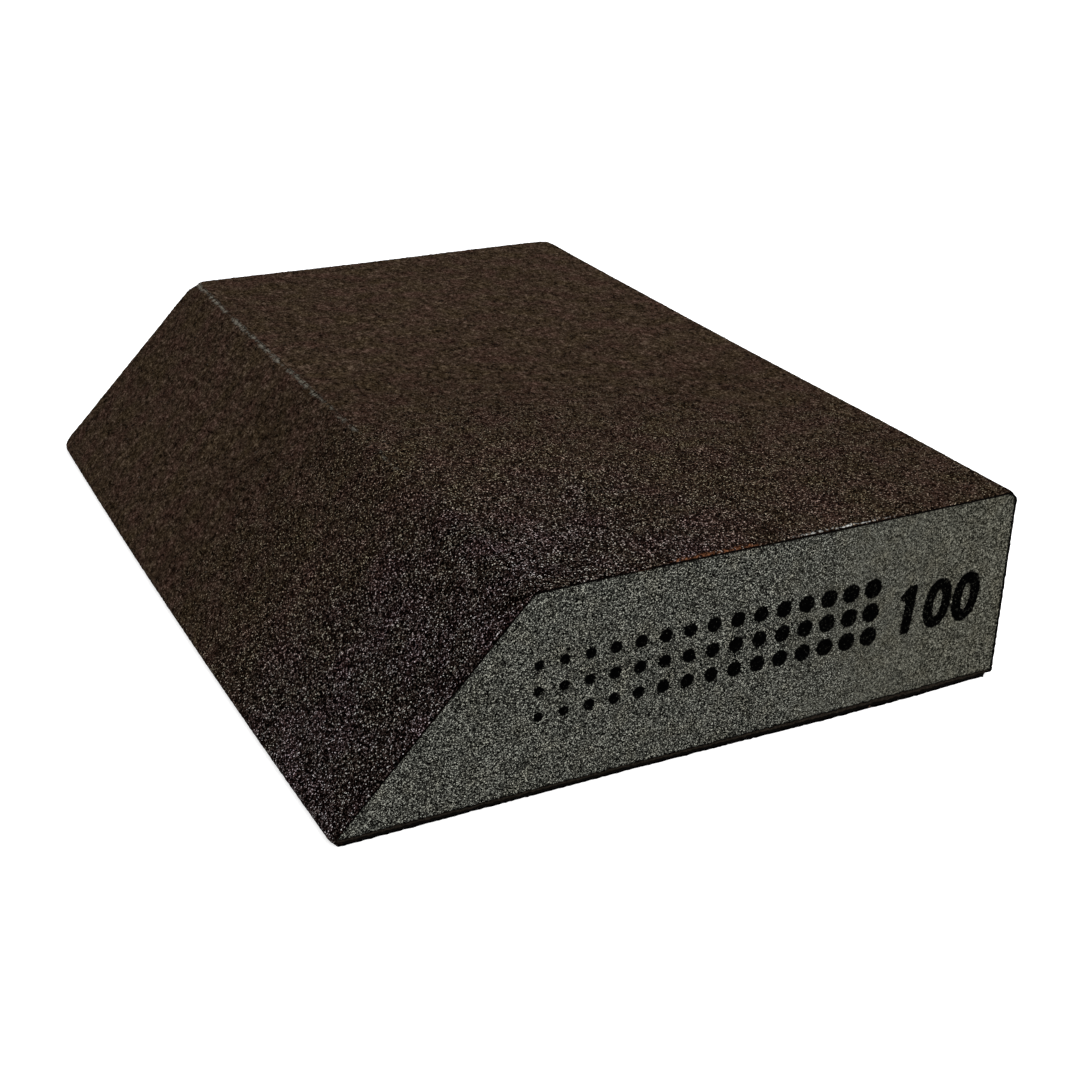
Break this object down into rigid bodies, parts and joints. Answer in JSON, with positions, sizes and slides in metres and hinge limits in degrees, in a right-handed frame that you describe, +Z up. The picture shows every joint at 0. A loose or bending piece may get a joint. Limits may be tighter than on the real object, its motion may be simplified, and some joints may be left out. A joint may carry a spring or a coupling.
{
  "type": "sanding block",
  "caption": "Flexible foam sanding block of trapezoid section, with abrasive grain on both wide faces, the square side and the bevel, and bare foam at the sawn ends.",
  "frame": {"origin": "middle of the base face, under the middle of the block's outer width", "axes": "+Z up from the base to the top face, +Y along the bar, +X to the square side; the bevel is towards -X and the printed end is at -Y"},
  "size_m": [0.0874, 0.125, 0.025],
  "materials": {
    "foam": "bare sawn grey-green polyurethane foam, fine cells, matte",
    "resin": "dark brown flexible bonding resin, satin where it shows at the sawn ends",
    "grit": "brown aluminium oxide grain of about grade 100, closely set, matte with glinting facets"
  },
  "bodies": {
    "root": {"foam_core": "foam", "base_resin_film": "resin", "base_grit_layer": "grit", "side_resin_film": "resin", "side_grit_layer": "grit", "top_resin_film": "resin", "top_grit_layer": "grit", "bevel_resin_film": "resin", "bevel_grit_layer": "grit"}
  },
  "joints": []
}
